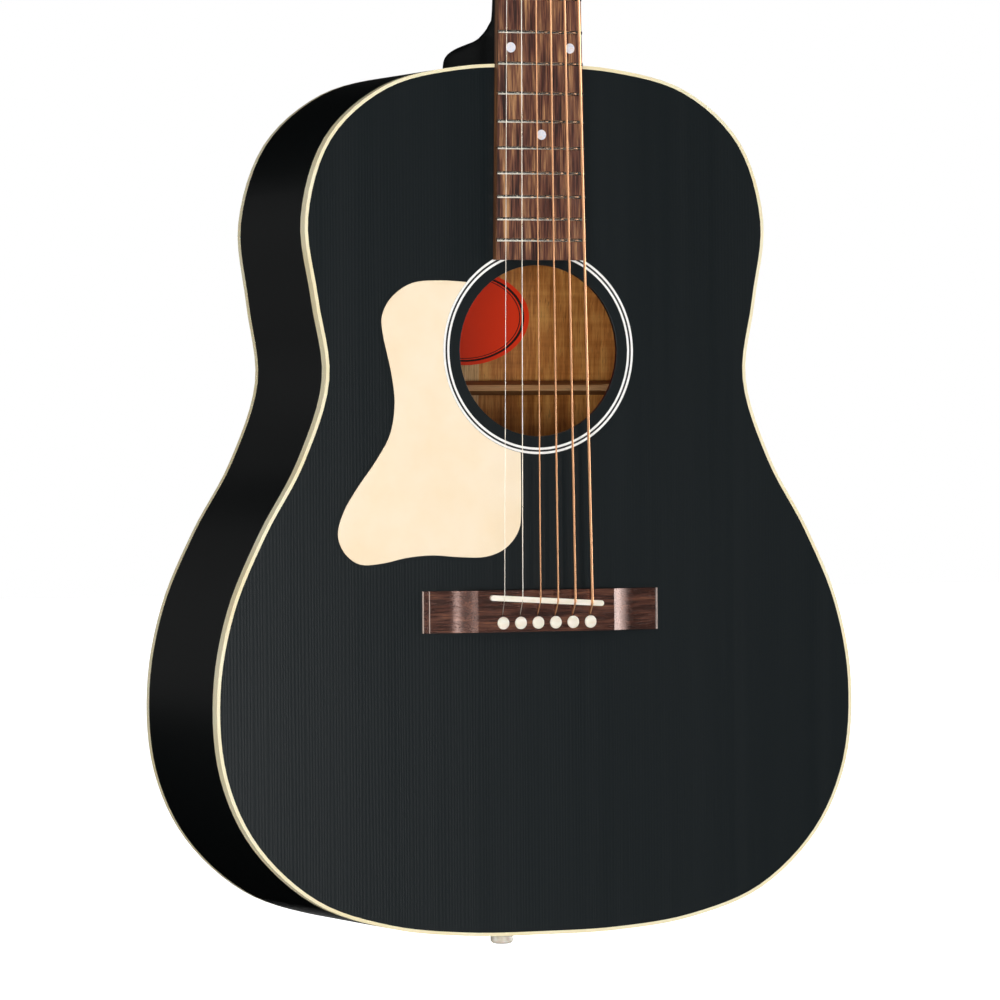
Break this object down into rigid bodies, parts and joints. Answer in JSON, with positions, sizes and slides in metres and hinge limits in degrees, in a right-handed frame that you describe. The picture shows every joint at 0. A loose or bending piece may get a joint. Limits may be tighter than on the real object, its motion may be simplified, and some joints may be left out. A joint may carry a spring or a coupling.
{
  "type": "acoustic guitar",
  "caption": "Left-handed steel-string acoustic guitar with sloping shoulders, hollow braced body, bound edges, pin bridge, bolt-free dovetailed neck and open geared tuners.",
  "frame": {"origin": "on the end pin's axis, at the middle of the end pin's head", "axes": "+Z along the strings towards the head, +Y from the front to the back, +X towards the bass strings (to the right seen from the front)"},
  "size_m": [0.4116, 0.1386, 1.03],
  "materials": {
    "black_top": "satin black lacquer over spruce",
    "black_body": "satin black lacquer over mahogany",
    "cream_binding": "cream binding",
    "inner_mahogany": "bare mahogany",
    "inner_spruce": "bare spruce",
    "rosette_inlay": "white and black rings",
    "finger_plate": "ivory sheet",
    "paper_label": "printed paper",
    "rosewood": "oiled rosewood",
    "bone": "polished bone",
    "plain_steel": "drawn steel wire",
    "bronze_winding": "bronze-wound steel wire",
    "fret_wire": "polished nickel silver",
    "pearl_dots": "pearl",
    "steel": "steel",
    "brass": "machined brass",
    "nickel": "nickel plating",
    "black_plastic": "black sheet",
    "ivory_button": "ivory plastic"
  },
  "bodies": {
    "guitar": {"top": "black_top", "back": "black_body", "side_treble": "black_body", "side_bass": "black_body", "top_binding": "cream_binding", "back_binding": "cream_binding", "top_lining": "inner_mahogany", "back_lining": "inner_mahogany", "neck_block": "inner_mahogany", "tail_block": "inner_mahogany", "rosette": "rosette_inlay", "finger_plate": "finger_plate", "x_brace": "inner_spruce", "top_braces": "inner_spruce", "bridge_plate": "inner_spruce", "back_braces": "inner_spruce", "back_strip": "inner_spruce", "label": "paper_label", "bridge": "rosewood", "saddle": "bone", "bridge_pins": "bone", "string_1": "plain_steel", "string_2": "plain_steel", "string_3": "bronze_winding", "string_4": "bronze_winding", "string_5": "bronze_winding", "string_6": "bronze_winding", "end_pin": "bone", "neck": "black_body", "heel_cap": "black_plastic", "fretboard": "rosewood", "frets": "fret_wire", "position_dots": "pearl_dots", "nut": "bone", "truss_rod": "steel", "rod_cover": "black_plastic", "cover_screws": "nickel", "head_veneer": "black_plastic", "tuner_plates": "nickel", "tuner_bushings": "nickel", "tuner_screws": "nickel"},
    "post_1": {"string_post_1": "nickel"},
    "key_1": {"worm_shaft_1": "nickel", "tuner_button_1": "ivory_button"},
    "post_2": {"string_post_2": "nickel"},
    "key_2": {"worm_shaft_2": "nickel", "tuner_button_2": "ivory_button"},
    "post_3": {"string_post_3": "nickel"},
    "key_3": {"worm_shaft_3": "nickel", "tuner_button_3": "ivory_button"},
    "post_4": {"string_post_4": "nickel"},
    "key_4": {"worm_shaft_4": "nickel", "tuner_button_4": "ivory_button"},
    "post_5": {"string_post_5": "nickel"},
    "key_5": {"worm_shaft_5": "nickel", "tuner_button_5": "ivory_button"},
    "post_6": {"string_post_6": "nickel"},
    "key_6": {"worm_shaft_6": "nickel", "tuner_button_6": "ivory_button"},
    "rod_nut": {"truss_rod_nut": "brass"}
  },
  "joints": [
    {"name": "post_1_turn", "type": "hinge", "parent": "guitar", "child": "post_1", "pos_m": [-0.023, -0.05009, 0.88743], "axis": [0, -0.9659, 0.2588], "continuous": true},
    {"name": "key_1_turn", "type": "hinge", "parent": "guitar", "child": "key_1", "pos_m": [-0.023, -0.02936, 0.8914], "axis": [-1, 0, 0], "continuous": true},
    {"name": "post_2_turn", "type": "hinge", "parent": "guitar", "child": "post_2", "pos_m": [-0.023, -0.03922, 0.928], "axis": [0, -0.9659, 0.2588], "continuous": true},
    {"name": "key_2_turn", "type": "hinge", "parent": "guitar", "child": "key_2", "pos_m": [-0.023, -0.01849, 0.93197], "axis": [-1, 0, 0], "continuous": true},
    {"name": "post_3_turn", "type": "hinge", "parent": "guitar", "child": "post_3", "pos_m": [-0.023, -0.02835, 0.96857], "axis": [0, -0.9659, 0.2588], "continuous": true},
    {"name": "key_3_turn", "type": "hinge", "parent": "guitar", "child": "key_3", "pos_m": [-0.023, -0.00762, 0.97254], "axis": [-1, 0, 0], "continuous": true},
    {"name": "post_4_turn", "type": "hinge", "parent": "guitar", "child": "post_4", "pos_m": [0.023, -0.02835, 0.96857], "axis": [0, -0.9659, 0.2588], "continuous": true},
    {"name": "key_4_turn", "type": "hinge", "parent": "guitar", "child": "key_4", "pos_m": [0.023, -0.00762, 0.97254], "axis": [1, 0, 0], "continuous": true},
    {"name": "post_5_turn", "type": "hinge", "parent": "guitar", "child": "post_5", "pos_m": [0.023, -0.03922, 0.928], "axis": [0, -0.9659, 0.2588], "continuous": true},
    {"name": "key_5_turn", "type": "hinge", "parent": "guitar", "child": "key_5", "pos_m": [0.023, -0.01849, 0.93197], "axis": [1, 0, 0], "continuous": true},
    {"name": "post_6_turn", "type": "hinge", "parent": "guitar", "child": "post_6", "pos_m": [0.023, -0.05009, 0.88743], "axis": [0, -0.9659, 0.2588], "continuous": true},
    {"name": "key_6_turn", "type": "hinge", "parent": "guitar", "child": "key_6", "pos_m": [0.023, -0.02936, 0.8914], "axis": [1, 0, 0], "continuous": true},
    {"name": "rod_nut_turn", "type": "hinge", "parent": "guitar", "child": "rod_nut", "pos_m": [0, -0.0525, 0.856], "axis": [0, 0, 1], "range_deg": [-360, 360]}
  ],
  "couplings": [
    {"joint": "post_1_turn", "follows": "key_1_turn", "ratio": 0.071429},
    {"joint": "post_2_turn", "follows": "key_2_turn", "ratio": 0.071429},
    {"joint": "post_3_turn", "follows": "key_3_turn", "ratio": 0.071429},
    {"joint": "post_4_turn", "follows": "key_4_turn", "ratio": 0.071429},
    {"joint": "post_5_turn", "follows": "key_5_turn", "ratio": 0.071429},
    {"joint": "post_6_turn", "follows": "key_6_turn", "ratio": 0.071429}
  ]
}
